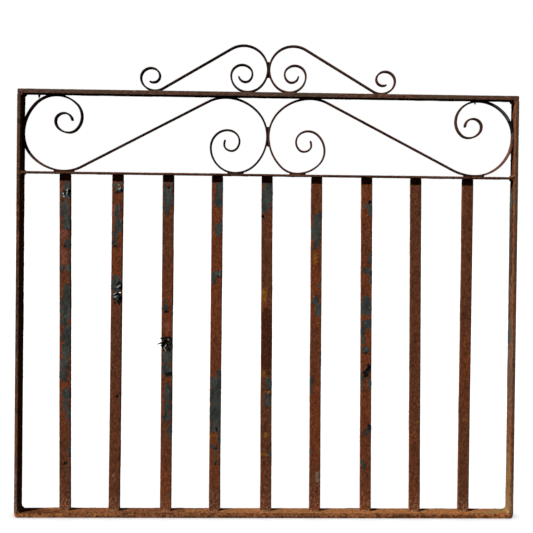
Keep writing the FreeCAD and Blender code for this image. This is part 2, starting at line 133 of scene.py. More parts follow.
SLAT_MARKS = {
    "slat_1": {
        "paint": [(4, 604, 6, 9), (2, 588, 9, 8), (0, 566, 7, 16), (2, 542, 7, 15), (5, 499, 6, 8),
                  (-7, 456, 3, 5), (5, 455, 4, 5), (4, 412, 6, 12), (1, 385, 9, 17), (1, 358, 9, 16),
                  (2, 330, 8, 20), (1, 303, 8, 18), (0, 279, 9, 14), (-1, 258, 8, 11), (3, 222, 6, 14),
                  (1, 203, 6, 9), (6, 185, 4, 13), (9, 125, 2, 11)],
        "bare": [(7, 576, 3, 5), (8, 356, 2, 5), (-5, 341, 3, 5), (9, 285, 2, 7), (-8, 300, 3, 10)],
        "primer": [(-2, 516, 7, 10), (-2, 475, 7, 15), (-7, 604, 3, 8)],
        "soot_and_shadow": [(1, 95, 3, 3), (7.5, 590, 2.5, 3.5), (-5, 579, 3, 3), (0, 494, 3, 2), (0, 592, 2, 3)],
        "olive": [(1.5, 82, 3, 12), (9, 125, 2, 8)],
    },
    "slat_2": {
        "paint": [(-1, 609, 8, 4), (2, 600, 6, 6), (1, 558, 4, 13), (2, 532, 7, 12), (-4, 517, 5, 6),
                  (-6, 504, 4, 9), (0, 424, 9, 16), (0, 404, 9, 9)],
        # (6, 399, 4, 9) in this list is a painted shadow, cast by the curled flakes above it.
        "soot_and_shadow": [(6, 399, 4, 9), (1.5, 219, 3, 4), (2, 595, 5, 1.5), (-6, 495, 3, 1), (-4, 396, 2, 3),
                 (5, 424, 4, 4)],
        "olive": [(2.5, 211, 3, 4)],
        "pale": [(0, 68, 2, 5)],
        "primer": [(-5, 560, 3, 12)],
    },
    "slat_3": {
        "paint": [(0, 589, 9, 23), (-2, 566, 7, 8), (-3.5, 386, 5, 10), (1, 292, 9, 15), (0, 270, 9, 12),
                  (3, 226, 7, 17), (2, 200, 7, 14), (1.5, 183, 5, 8), (7, 155, 4, 11)],
        "bare": [(0, 606, 4, 5), (7, 562, 5, 7), (9, 600, 2, 5)],
        # (0.5, 316, 10, 14) in this list is painted shadow of the big flakes on this slat.
        "soot_and_shadow": [(1, 603, 2, 2), (1, 376, 3, 2), (5, 261, 4, 1.5), (0.5, 316, 10, 14)],
        "primer": [(1, 350, 5, 8)],
        "olive": [(6, 36, 5, 9), (6, 215, 4, 12)],
    },
    "slat_4": {
        "paint": [(3, 600, 7, 14), (2, 580, 8, 11), (3, 530, 7, 13), (1, 446, 8, 6), (-4, 436, 5, 8),
                  (6, 258, 5, 10), (1, 244, 9, 13), (0, 222, 10, 18), (0, 192, 10, 23), (1, 165, 9, 12),
                  (8, 145, 3, 10), (-1, 127, 5, 6), (2, 98, 2, 5)],
        "bare": [(-7, 604, 4, 9), (-7, 535, 3, 12)],
        "soot_and_shadow": [(3, 441, 4, 1.5), (0, 125, 2, 2), (2, 97, 1.5, 3), (3, 160, 2, 3)],
        "ochre": [(-1, 147, 9, 2.5), (1, 224, 3, 4)],
        "olive": [(0, 110, 6, 12)],
    },
    "slat_5": {
        "paint": [(0, 594, 10, 22), (-1, 570, 9, 12), (5, 245, 5, 13), (1.5, 215, 5, 10),
                  (9, 116, 3, 6)],
        "bare": [(6, 562, 5, 5), (-8, 608, 2, 6)],
        "soot_and_shadow": [(-8, 553, 3, 3.5)],
        "grime_and_shade": [(0, 325, 12, 60)],
        "ochre": [(-4, 409, 6, 13), (-4, 264, 3, 6), (3.5, 228, 4, 4), (-1, 148, 7, 2.5),
                  (-3, 112, 6, 4)],
    },
    "slat_6": {
        "paint": [(1.5, 545, 7, 12), (-1, 524, 8, 15), (0, 504, 5.5, 13), (7, 427, 3, 3.5),
                  (0, 398, 5.5, 11), (4, 380, 5, 9), (9.5, 297, 2, 9), (-8, 244, 4, 16),
                  (-9, 118, 2.5, 4)],
        "ochre": [(-1, 478, 3, 12), (4, 354, 2, 3)],
        "pale": [(4, 69, 5, 10)],
    },
    "slat_7": {
        "paint": [(5, 568, 4, 12), (-2, 574, 5, 4), (7, 478, 4, 9), (1, 455, 8, 5), (8, 447, 3, 12),
                  (1, 404, 8, 5), (0, 388, 10, 17), (0, 355, 9, 12), (-6, 331, 4, 15), (-2, 308, 6, 8),
                  (7, 250, 4, 11), (-8, 248, 2.5, 12), (6, 160, 5, 6), (-2, 154, 5, 5), (-4, 96, 4, 6)],
        "bare": [(-2, 368, 5, 4), (4, 335, 6, 11)],
        "soot_and_shadow": [(5, 583, 3, 4), (6, 166, 3, 3), (0, 301, 4, 1.5), (6, 274, 4.5, 8), (0, 265, 5, 7)],
    },
    "slat_8": {"ochre": [(1, 173, 5, 1.5)]},
    "slat_9": {"ochre": [(0, 180, 5, 1.5)]},
}
# How red, 1, or grey-brown, -1, each slat is.
SLAT_TONES = {"slat_1": 0.1, "slat_2": 0.25, "slat_3": 0.6, "slat_4": 0.3, "slat_5": -0.2,
              "slat_6": 0.3, "slat_7": -0.1, "slat_8": -0.6, "slat_9": -0.2}

FRAME_MARKS = {
    "left_stile": {
        "paint": [(-14, 500, 8, 60), (-16, 250, 7, 90), (22, 400, 5, 60)],
        "olive": [(0, 700, 3, 80)],
        "pale": [(13, 581, 3, 5), (0, 50, 1.6, 45), (0, 190, 0.6, 90)],
        "grime_and_shade": [(0, 450, 1.2, 190)],
    },
    "right_stile": {
        "paint": [(-17, 592, 8, 12), (-19, 722, 7, 12), (-26, 560, 4, 24), (-25, 460, 5, 85),
                  (-20, 341, 8, 27), (14, 420, 8, 70), (15, 180, 7, 50)],
        "ochre": [(-14, 60, 11, 70)],
        "primer": [(-9, 720, 6, 30), (-9, 650, 6, 12)],
        # Painted shadows: these two near-black marks stand for shadows cast on the inner face near the top
        # and mid rails.
        "soot_and_shadow": [(-26, 645, 4, 30), (-24, 752, 6, 10)],
        # Painted shade: the grime_and_shade marks below darken the rear of the inner face, which the key
        # light lights strongly.
        "grime_and_shade": [(-20, 600, 12, 190), (-24, 380, 7, 60)],
        "olive": [(0, 600, 3, 60), (0, 470, 3, 60), (0, 715, 3, 55)],
    },
    "top_rail": {
        "paint": [(18, -250, 6, 60), (18, 120, 6, 90), (-18, 40, 7, 120)],
        "olive": [(0, -300, 4, 60), (1, 60, 4, 80), (0, 330, 4, 60)],
    },
    "bottom_rail": {
        "ochre": [(11, 418, 4, 22), (24, 436, 6, 14)],
        "primer": [(17, 160, 12, 300)],
        "grime_and_shade": [(12, -430, 9, 60), (5, 0, 0.8, 455), (-3, 60, 2, 400), (0, 340, 2, 120)],
        "paint": [(-16, 150, 8, 70), (-15, -240, 8, 60)],
    },
    "mid_rail": {
        "primer": [(0, -380, 2, 60), (0, 60, 2, 50), (0, 330, 2, 60)],
        "paint": [(15, -120, 8, 60), (14, 250, 8, 50)],
    },
}
SCROLL_MARKS = {
    "panel_scroll_left": {"primer": [(0, 805, 14, 24)]},
    "panel_scroll_right": {
        "paint": [(0, 246, 14, 42)],
        "soot_and_shadow": [(0, 272, 14, 13)],
        "primer": [(0, 345, 14, 40)],
    },
}


# ---------------------------------------------------------------- bars as worn sweeps

def section_ring(wide, deep, edge, step):
    """A rounded rectangle as an array of (wide place, deep place), starting at the front's middle.

    Returns the points, their outward normals and how far round from the front's middle each one is."""
    corners = [(1, -1), (1, 1), (-1, 1), (-1, -1)]
    corner_turns = 3
    outline = []
    for number, (side, depth_side) in enumerate(corners):
        middle = np.array((side * (wide / 2 - edge), depth_side * (deep / 2 - edge)))
        start = -math.pi / 2 + number * math.pi / 2
        for turn in range(corner_turns + 1):
            angle = start + turn / corner_turns * math.pi / 2
            outward = np.array((math.cos(angle), math.sin(angle)))
            outline.append((middle + edge * outward, outward))
    points = []
    for (place, outward), (next_place, next_outward) in zip(outline, outline[1:] + outline[:1]):
        gap = np.linalg.norm(next_place - place)
        parts = max(1, round(gap / step)) if np.allclose(outward, next_outward) else 1
        for part in range(parts):
            points.append((place + (next_place - place) * part / parts, outward))
    places = np.array([point for point, outward in points])
    normals = np.array([outward for point, outward in points])
    start = np.array((0.0, -deep / 2))
    steps = np.linalg.norm(np.diff(places, axis=0), axis=1)
    around = np.concatenate(([0.0], np.cumsum(steps))) + np.linalg.norm(places[0] - start)
    total = 2 * (wide + deep) - (8 - 2 * math.pi) * edge
    around = np.where(around > total / 2, around - total, around)
    return places, normals, around


def even_path(points, step):
    """The polyline resampled evenly, with the length along it and the unit direction at each point."""
    points = np.array(points, dtype=float)
    lengths = np.concatenate(([0.0], np.cumsum(np.linalg.norm(np.diff(points, axis=0), axis=1))))
    count = max(2, round(lengths[-1] / step)) + 1
    along = np.linspace(0.0, lengths[-1], count)
    path = np.stack([np.interp(along, lengths, points[:, axis]) for axis in range(3)], axis=1)
    ahead = np.gradient(path, axis=0)
    ahead /= np.linalg.norm(ahead, axis=1)[:, None]
    return path, along, ahead


def swept_bar(path, across, along, places, wide, deep, edge, foot_round):
    """The bar before it wears: a ring of points at each row of the path."""
    # The first and last two rows are drawn in, so that the cut ends are rounded too.
    inset = np.zeros(len(path))
    inset[0] = inset[-1] = edge * 0.8
    inset[1] = inset[-2] = edge * 0.2
    shrink = np.ones((len(path), 1, 2))
    shrink[:, 0, 0] = 1 - 2 * inset / wide
    shrink[:, 0, 1] = 1 - 2 * inset / deep
    section = places[None, :, :] * shrink
    if foot_round:
        from_end = np.minimum(along, along[-1] - along)
        arc = np.sqrt(np.maximum(0, foot_round**2 - (foot_round - from_end) ** 2))
        lift = np.where(from_end < foot_round, foot_round - arc, 0)
        lift = np.minimum(lift, wide * 0.7)[:, None]
        section[:, :, 0] += lift * (0.5 - section[:, :, 0] / wide)
    return path[:, None, :] + section[:, :, :1] * across[:, None, :] + section[:, :, 1:] * THROUGH


def mark_layers(marks, round_mm, along_mm, ragged):
    """How much of each layer lies on each point, from 0 to 1."""
    layers = {}
    for layer in LAYERS:
        inside = marked(marks.get(layer, ()), round_mm, along_mm, ragged)
        fade = SHARP_FADE if layer in SHARP_LAYERS else SOFT_FADE
        layers[layer] = soft_step(inside, -fade, fade)
    return layers


def hidden_paint(flat, round_mm, back_edge, middle, look):
    """Scattered remains of paint on the back, which starts back_edge mm round the section."""
    spread = noise_at(flat * np.array((1.0, 1.0, 0.45)), 28 * MM, look["seed"] + 31)
    hidden = soft_step(np.abs(round_mm), back_edge - 4, back_edge - 1)
    return soft_step(spread + 0.25 * middle, look["scatter"], look["scatter"] + 0.05) * hidden


def bar_relief(layers, normals, rows, look, coarse, middle, fine):
    """How far the rust, the pits, the paint film and its curled rim raise each point off the bar."""
    film = layers["paint"]
    rim = 4 * film * (1 - film)
    at_edge = (np.abs(normals[:, 0]) > 0.05) & (np.abs(normals[:, 1]) > 0.05)
    nibble = np.tile(at_edge, rows) * np.maximum(0, coarse + 0.6 * middle)
    pits = np.maximum(0, middle + 0.5 * fine - 0.22)
    flatness = np.tile(np.abs(normals[:, 1]) ** 2, rows)
    rise = look["swell"] + look["lump"] * coarse + look["grain"] * fine
    rise += look["film"] * film + look["curl"] * rim * (0.5 + middle) * flatness
    rise -= look["pit"] * pits * (1 - film) + look["nibble"] * nibble + SOOT_AND_SHADOW_DEPTH * layers["soot_and_shadow"]
    return rise


def ring_faces(rows, ring):
    """The quads between neighbouring rings of points, and one face over each end."""
    corner = np.arange(rows - 1)[:, None] * ring + np.arange(ring)[None, :]
    beside = np.arange(rows - 1)[:, None] * ring + (np.arange(ring)[None, :] + 1) % ring
    quads = np.stack((corner, corner + ring, beside + ring, beside), axis=2).reshape(-1, 4)
    last = list(range((rows - 1) * ring, rows * ring))
    return quads.tolist() + [list(range(ring)), last[::-1]]


def store_layer(mesh, layer, values):
    """Keeps a layer on the mesh's points, where the material reads it."""
    attribute = mesh.attributes.new(layer, "FLOAT", "POINT")
    attribute.data.foreach_set("value", values.astype(np.float32))


def worn_bar(name, points, wide, deep, marks, look, measure="length", tone=0.0, foot_round=0.0):
    """A flat bar swept along points in the gate's plane, as a mesh with rust relief and paint film.

    wide is the section's size in the gate's plane and deep its size through the gate. measure is what
    the marks' "along" counts, and tone how red or grey the whole bar is."""
    edge = min(look["edge"], wide * 0.3)
    places, normals, around = section_ring(wide, deep, edge, look["step"])
    path, along, ahead = even_path(points, look["row"])
    rows, ring, seed = len(path), len(places), look["seed"]
    across = np.cross(THROUGH, ahead)
    flat = swept_bar(path, across, along, places, wide, deep, edge, foot_round).reshape(-1, 3)
    outward = normals[None, :, :1] * across[:, None, :] + normals[None, :, 1:] * THROUGH
    round_mm = np.broadcast_to(around / MM, (rows, ring)).ravel()
    centre = {"length": along, "height": path[:, 2], "x": path[:, 0]}[measure]
    along_mm = np.repeat(centre / MM, ring)
    grains = [noise_at(flat, size, seed + shift) for size, shift in GRAINS]
    ragged = sum(weight * grain for weight, grain in zip(RAGGED, grains))
    layers = mark_layers(marks, round_mm, along_mm, ragged)
    remains = hidden_paint(flat, round_mm, (wide / 2 + deep) / MM, grains[1], look)
    layers["paint"] = np.maximum(layers["paint"], remains) * (1 - layers.pop("bare"))
    layers["tone"] = np.full(rows * ring, tone)
    rise = bar_relief(layers, normals, rows, look, *grains)
    solid = (flat + rise[:, None] * outward.reshape(-1, 3)).reshape(rows, ring, 3)
    leans = [noise.noise((at / WANDER_WAVE, seed, 0.5)) for at in along.tolist()]
    wander = look["wander"] * np.array(leans) * np.sin(math.pi * along / along[-1]) ** 0.5
    solid += (wander[:, None] * across)[:, None, :]
    mesh = bpy.data.meshes.new(name)
    mesh.from_pydata(solid.reshape(-1, 3).tolist(), [], ring_faces(rows, ring))
    for layer, values in layers.items():
        store_layer(mesh, layer, values)
    mesh.update()
    close_mesh(mesh)
    return add_piece(name, mesh)


def close_mesh(mesh):
    """Fills the flat ends with triangles and turns every face outward."""
    solid = bmesh.new()
    solid.from_mesh(mesh)
    ends = [face for face in solid.faces if len(face.verts) > 4]
    bmesh.ops.triangulate(solid, faces=ends)
    bmesh.ops.recalc_face_normals(solid, faces=solid.faces)
    solid.to_mesh(mesh)
    solid.free()
    mesh.shade_smooth()


def add_piece(name, mesh):
    """A new object with that mesh, in the scene."""
    piece = bpy.data.objects.new(name, mesh)
    bpy.context.scene.collection.objects.link(piece)
    return piece


def straight_bar(node, axis):
    """The middles of a straight CAD bar's two ends, its size in the gate's plane and its depth."""
    corners = np.array([vertex.co[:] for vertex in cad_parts[node].data.vertices])
    low, high = corners[:, axis].min(), corners[:, axis].max()
    ends = []
    for level in (low, high):
        end = corners[np.abs(corners[:, axis] - level) < END_REACH]
        middle = (end.min(axis=0) + end.max(axis=0)) / 2
        middle[axis] = level
        ends.append(middle)
    size = end.max(axis=0) - end.min(axis=0)
    # A level bar runs towards -X, so that "round" is positive on its upper side.
    return (ends if axis == 2 else ends[::-1]), size[2 - axis], size[1]


def merged_node(node):
    """A CAD node's mesh with its doubled points merged and its flat faces whole, as a bmesh."""
    solid = bmesh.new()
    solid.from_mesh(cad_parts[node].data)
    bmesh.ops.remove_doubles(solid, verts=solid.verts, dist=0.001 * MM)
    bmesh.ops.dissolve_limit(solid, angle_limit=math.radians(1), verts=solid.verts, edges=solid.edges)
    return solid


def bent_bar(node):
    """The middle line, thickness and depth of a CAD scroll, from the outline of its front face.

    The four sharpest corners of that outline are the corners of the scroll's two cut ends, and the
    longest stretch between two of them is one long side."""
    solid = merged_node(node)
    front = max(solid.faces, key=lambda face: len(face.verts))
    outline = np.array([vertex.co[:] for vertex in front.verts])
    normal_y = front.normal.y
    solid.free()
    steps = np.roll(outline, -1, axis=0) - outline
    steps /= np.linalg.norm(steps, axis=1)[:, None]
    turns = np.degrees(np.arccos(np.clip((steps * np.roll(steps, 1, axis=0)).sum(axis=1), -1, 1)))
    corners = np.sort(np.argsort(turns)[-4:])
    outline = np.roll(outline, -corners[0], axis=0)
    corners = corners - corners[0]
    spans = np.diff(np.append(corners, len(outline)))
    first = int(np.argmax(spans))
    side = outline[corners[first]:corners[first] + spans[first] + 1]
    low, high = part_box(node)
    thick = np.linalg.norm(outline[(corners[first] - 1) % len(outline)] - outline[corners[first]])
    path, _, ahead = even_path(side, 1.5 * MM)
    inward = np.cross(THROUGH, ahead) * (-1 if normal_y < 0 else 1)
    path = path + inward * thick / 2
    path[:, 1] = (low[1] + high[1]) / 2
    return path, thick, high[1] - low[1]


# ---------------------------------------------------------------- welds and paint flakes

def worn_weld(node, look):
    """A copy of the CAD weld beads, rounded, divided finely and made lumpy like a hand-run bead."""
    solid = merged_node(node)
    bmesh.ops.bevel(solid, geom=solid.edges[:], offset=look["bevel"], segments=2, affect="EDGES",
                    clamp_overlap=True)
    bmesh.ops.triangulate(solid, faces=solid.faces)
    for _ in range(look["divisions"]):
        long_edges = [edge for edge in solid.edges if edge.calc_length() > look["step"]]
        bmesh.ops.subdivide_edges(solid, edges=long_edges, cuts=1)
        bmesh.ops.triangulate(solid, faces=solid.faces)
    bmesh.ops.smooth_vert(solid, verts=solid.verts, factor=0.4, use_axis_x=True, use_axis_y=True,
                          use_axis_z=True)
    solid.normal_update()
    points = np.array([vertex.co[:] for vertex in solid.verts])
    normals = np.array([vertex.normal[:] for vertex in solid.verts])
    ripple = np.sin(2 * math.pi * points[:, 1] / RIPPLE_PITCH + 4 * noise_at(points, 6 * MM, 3.0))
    lump = noise_at(points, BEAD_LUMP, 11.0)
    rise = look["swell"] + look["lump"] * lump + look["ripple"] * ripple
    for vertex, place in zip(solid.verts, points + rise[:, None] * normals):
        vertex.co = place
    bmesh.ops.recalc_face_normals(solid, faces=solid.faces)
    mesh = bpy.data.meshes.new(node + "_bead")
    solid.to_mesh(mesh)
    solid.free()
    mesh.shade_smooth()
    inside = marked(look["ochre"], points[:, 0] / MM, points[:, 2] / MM, 2 * lump)
    store_layer(mesh, "ochre", soft_step(inside, -2, 2))
    return add_piece(node + "_bead", mesh)


def weld_drop(name, place, size):
    """A small lump of weld metal round that place, size being its three half sizes, all in mm."""
    solid = bmesh.new()
    bmesh.ops.create_icosphere(solid, subdivisions=4, radius=1.0)
    for vertex in solid.verts:
        lump = 1 + DROP_LUMP * noise.noise(vertex.co * 1.8 + Vector(place))
        vertex.co = Vector([middle + half * part * lump for middle, half, part
                            in zip(place, size, vertex.co)]) * MM
    mesh = bpy.data.meshes.new(name)
    solid.to_mesh(mesh)
    solid.free()
    mesh.shade_smooth()
    return add_piece(name, mesh)


def slat_middle(slat, height):
    """The middle of a slat's front face at that height in mm."""
    (foot, head), _, deep = straight_bar(slat, 2)
    share = (height * MM - foot[2]) / (head[2] - foot[2])
    return foot + (head - foot) * share - THROUGH * deep / 2


def paint_flake(name, slat, across, height, size, turn, curl, seed):
    """A flake of old paint, still held along one edge, that has curled up from the slat.

    across and height give the held edge's middle in mm, size is (reach, breadth) in mm, turn is the way
    the flake reaches, in degrees from +X towards +Z, and curl is how far round its free edge has rolled,
    in degrees. The paint side has material 0, the underside and the torn rim material 1."""
    reach, breadth = size
    rows = max(8, int(reach * FLAKE_FINENESS)) + 1
    columns = max(7, int(breadth * FLAKE_FINENESS)) + 1
    middle = slat_middle(slat, height) + np.array((across * MM, 0, 0))
    way = np.array((math.cos(math.radians(turn)), 0.0, math.sin(math.radians(turn))))
    sideways = np.cross(way, THROUGH)
    paint_side, under_side = [], []
    for column in range(columns):
        side = column / (columns - 1) * 2 - 1
        torn = 1 + FLAKE_TEAR * noise.noise((side * 2.1, seed, 0.3)) - 0.25 * side * side
        out, proud = 0.0, FLAKE_LIFT
        for row in range(rows):
            share = row / (rows - 1)
            angle = math.radians(curl) * share**FLAKE_ROLL * torn
            if row:
                out += reach * torn / (rows - 1) * math.cos(angle)
                proud += reach * torn / (rows - 1) * math.sin(angle)
            ragged = 1 + 0.25 * noise.noise((share * 2.3, seed, side + 5.1)) - 0.3 * share * share
            crumple = FLAKE_CRUMPLE * noise.noise((share * 3, side * 3, seed)) * share
            place = middle + way * out * MM + sideways * side * breadth / 2 * ragged * MM
            place = place - THROUGH * (proud + crumple) * MM
            inward = THROUGH * math.cos(angle) + way * math.sin(angle)
            paint_side.append(place)
            under_side.append(place + inward * FLAKE_THICK)
    count = rows * columns
    faces, rim = [], []
    for column in range(columns - 1):
        for row in range(rows - 1):
            at = column * rows + row
            faces.append((at, at + 1, at + rows + 1, at + rows))
            rim.append(tuple(count + corner for corner in (at, at + rows, at + rows + 1, at + 1)))
    border = list(range(rows)) + [column * rows + rows - 1 for column in range(1, columns)]
    border += [(columns - 1) * rows + row for row in range(rows - 2, -1, -1)]
    border += [column * rows for column in range(columns - 2, 0, -1)]
    for at, beside in zip(border, border[1:] + border[:1]):
        rim.append((at, count + at, count + beside, beside))
    mesh = bpy.data.meshes.new(name)
    mesh.from_pydata([tuple(place) for place in paint_side + under_side], [], faces + rim)
    mesh.polygons.foreach_set("material_index", [0] * len(faces) + [1] * len(rim))
    close_mesh(mesh)
    return add_piece(name, mesh)


# ---------------------------------------------------------------- materials

GAIN = 1.04  # the key light leaves the front faces a little darker than their own colour
EVEN = (1, 1, 1)  # noise that isn't stretched along any axis
OLD_PAINT = ("262a28", "424641", "636860", "4a3424")
OLIVE = "554a33"
PALE = "9a8f80"
PIT = "1c0f0a"
# Near black, for real dark spots and painted shadows.
SOOT_AND_SHADOW = "0b0b0a"
# A darkening tint, for grime and painted shade.
GRIME_AND_SHADE_TINT = (0.30, 0.27, 0.25, 1.0)


def colour(code):
    """A hex colour as it should look in the light, as the linear colour of the surface."""
    parts = [int(code[place:place + 2], 16) / 255 for place in (0, 2, 4)]
    linear = [part / 12.92 if part <= 0.04045 else ((part + 0.055) / 1.055) ** 2.4 for part in parts]
    return tuple(min(0.9, part * GAIN) for part in linear) + (1.0,)


class Paintbox:
    """Builds one material's nodes. Sizes are in metres, in the object's own coordinates."""

    def __init__(self, name):
        self.material = bpy.data.materials.new(name)
        self.material.use_nodes = True
        self.tree = self.material.node_tree
        self.tree.nodes.clear()
        self.place = self.tree.nodes.new("ShaderNodeTexCoord").outputs["Object"]

    def node(self, kind, **settings):
        """A new node of that kind, with those settings."""
        node = self.tree.nodes.new(kind)
        for name, value in settings.items():
            setattr(node, name, value)
        return node

    def plug(self, value, socket):
        """Links another node's result to the socket, or sets the socket to a plain value."""
        if isinstance(value, bpy.types.NodeSocket):
            self.tree.links.new(value, socket)
        else:
            socket.default_value = value

    def noise(self, size, detail=3.0, roughness=0.55, stretch=EVEN, seed=0.0):
        """Noise from 0 to 1 with features of that size, longer along an axis where stretch is over 1."""
        mapping = self.node("ShaderNodeMapping")
        self.plug(self.place, mapping.inputs["Vector"])
        mapping.inputs["Scale"].default_value = [1 / (size * part) for part in stretch]
        mapping.inputs["Location"].default_value = (seed, seed * 0.7, seed * 1.3)
        texture = self.node("ShaderNodeTexNoise")
        self.plug(mapping.outputs["Vector"], texture.inputs["Vector"])
        texture.inputs["Scale"].default_value = 1.0
        texture.inputs["Detail"].default_value = detail
        texture.inputs["Roughness"].default_value = roughness
        return texture.outputs["Fac"]

    def layer(self, name):
        """A layer that the mesh keeps on its points, or 0 where it has none of that name."""
        return self.node("ShaderNodeAttribute", attribute_name=name).outputs["Fac"]

    def window(self, value, low, high, bottom=0.0, top=1.0):
        """bottom where the value is at low, top where it is at high, smooth between and flat outside."""
        ramp = self.node("ShaderNodeMapRange", interpolation_type="SMOOTHSTEP")
        for number, amount in enumerate((value, low, high, bottom, top)):
            self.plug(amount, ramp.inputs[number])
        return ramp.outputs[0]

    def calc(self, kind, first, second):
        """The two values added, subtracted or multiplied, as kind says."""
        node = self.node("ShaderNodeMath", operation=kind)
        self.plug(first, node.inputs[0])
        self.plug(second, node.inputs[1])
        return node.outputs[0]

    def blend(self, share, first, second, kind="MIX"):
        """The first colour with that share of the second; 6, 7 and 2 are the node's colour sockets."""
        node = self.node("ShaderNodeMix", data_type="RGBA", blend_type=kind)
        self.plug(share, node.inputs[0])
        self.plug(first, node.inputs[6])
        self.plug(second, node.inputs[7])
        return node.outputs[2]

    def height(self):
        """Height above the ground, in metres."""
        split = self.node("ShaderNodeSeparateXYZ")
        self.plug(self.place, split.inputs[0])
        return split.outputs["Z"]

    def finish(self, base, roughness, relief, distance, specular=0.3):
        """Joins colour, roughness and relief, whose full height is distance, to the surface shader."""
        bump = self.node("ShaderNodeBump")
        bump.inputs["Strength"].default_value = 1.0
        bump.inputs["Distance"].default_value = distance
        self.plug(relief, bump.inputs["Height"])
        shader = self.node("ShaderNodeBsdfPrincipled")
        shader.inputs["Specular IOR Level"].default_value = specular
        self.plug(base, shader.inputs["Base Color"])
        self.plug(roughness, shader.inputs["Roughness"])
        self.plug(bump.outputs["Normal"], shader.inputs["Normal"])
        output = self.node("ShaderNodeOutputMaterial")
        self.plug(shader.outputs[0], output.inputs["Surface"])
        return self.material


def paint_colour(box, stretch):
    """Old dark grey-green paint: chalky streaks, dirt and a few brown stains."""
    dark, light, chalky, brown = (colour(code) for code in OLD_PAINT)
    cloud = box.window(box.noise(18 * MM, 4, 0.6, stretch), 0.35, 0.68)
    shade = box.blend(cloud, dark, light)
    chalk = box.window(box.noise(2.6 * MM, 3, 0.75, stretch, 4.0), 0.52, 0.74, 0.0, 0.7)
    shade = box.blend(chalk, shade, chalky)
    stain = box.window(box.noise(6.5 * MM, 4, 0.7, stretch, 12.0), 0.54, 0.74, 0.0, 0.6)
    return box.blend(stain, shade, brown)


def rust_ground(box, look, mottle, grain, coarse):
    """Bare rust: broad red and brown fields, dark mottling, and a grain that lightens and darkens it."""
    red, brown, dark = (colour(code) for code in look["rust"])
    broad = box.noise(75 * MM, 3, 0.5, look["stretch"], 1.0)
    broad = box.calc("ADD", broad, box.calc("MULTIPLY", box.layer("tone"), 0.22))
    shade = box.blend(box.window(broad, 0.40, 0.62), brown, red)
    shade = box.blend(box.window(mottle, 0.50, 0.75, 0.0, look["mottle"]), shade, dark)
    light = box.window(grain, 0.28, 0.72, 1 - look["grain"], 1 + look["grain"])
    patches = box.window(coarse, 0.28, 0.72, 1 - look["coarse"], 1 + look["coarse"])
    light = box.calc("MULTIPLY", light, patches)
    bright = box.node("ShaderNodeCombineColor")
    for socket in bright.inputs:
        box.plug(light, socket)
    return box.blend(1.0, shade, bright.outputs[0], "MULTIPLY")


def rust_specks(box, look, shade):
    """Orange specks and pale dust, thicker towards the gate's foot, and small dark pits."""
    speck = box.noise(2.6 * MM, 2, 0.5, EVEN, 9.0)
    bloom = box.window(box.noise(30 * MM, 3, 0.6, look["stretch"], 6.0), 0.35, 0.7, 0.0, 0.06)
    foot = box.window(box.height(), 50 * MM, 8 * MM, 0.0, look["foot"])
    level = box.calc("ADD", box.calc("ADD", speck, bloom), foot)
    specks = box.window(level, look["speck"], look["speck"] + 0.10, 0.0, 0.8)
    shade = box.blend(specks, shade, colour(look["orange"]))
    dust = box.noise(3.0 * MM, 3, 0.6, look["grain_stretch"], 14.0)
    dust = box.calc("ADD", dust, box.window(box.height(), 110 * MM, 6 * MM, 0.0, look["foot"] * 1.6))
    dusty = box.window(dust, look["dust"], look["dust"] + 0.14, 0.0, 0.6)
    shade = box.blend(dusty, shade, colour(look["dust_colour"]))
    pit = box.noise(2.4 * MM, 2, 0.5, EVEN, 17.0)
    pitted = box.window(pit, look["pit"], look["pit"] + 0.08, 0.0, 0.85)
    return box.blend(pitted, shade, colour(PIT))


def rust_marks(box, look, shade, grain, coarse, tear):
    """Primer, ochre and olive rust, pale scrapes, grime and painted shade, where the mesh's layers mark
    them.
    """
    dark = colour(look["rust"][2])
    worn = box.window(coarse, 0.38, 0.58, 0.35, 1.0)
    for layer, code, strength in (("primer", look["primer"], 0.75), ("ochre", look["ochre"], 0.9),
                                  ("olive", OLIVE, 0.6), ("pale", PALE, 0.5)):
        share = box.window(box.calc("ADD", box.layer(layer), tear), 0.35, 0.75, 0.0, strength)
        tint = box.blend(box.window(grain, 0.3, 0.7, 0.0, 0.45), colour(code), dark)
        shade = box.blend(box.calc("MULTIPLY", share, worn), shade, tint)
    # Darker where grime_and_shade lies: grime on most bars, painted shade on the right stile's inner face.
    grime_and_shade = box.window(box.calc("ADD", box.layer("grime_and_shade"), tear), 0.3, 0.8, 0.0, look["grime_and_shade"])
    return box.blend(grime_and_shade, shade, box.blend(1.0, shade, GRIME_AND_SHADE_TINT, "MULTIPLY"))


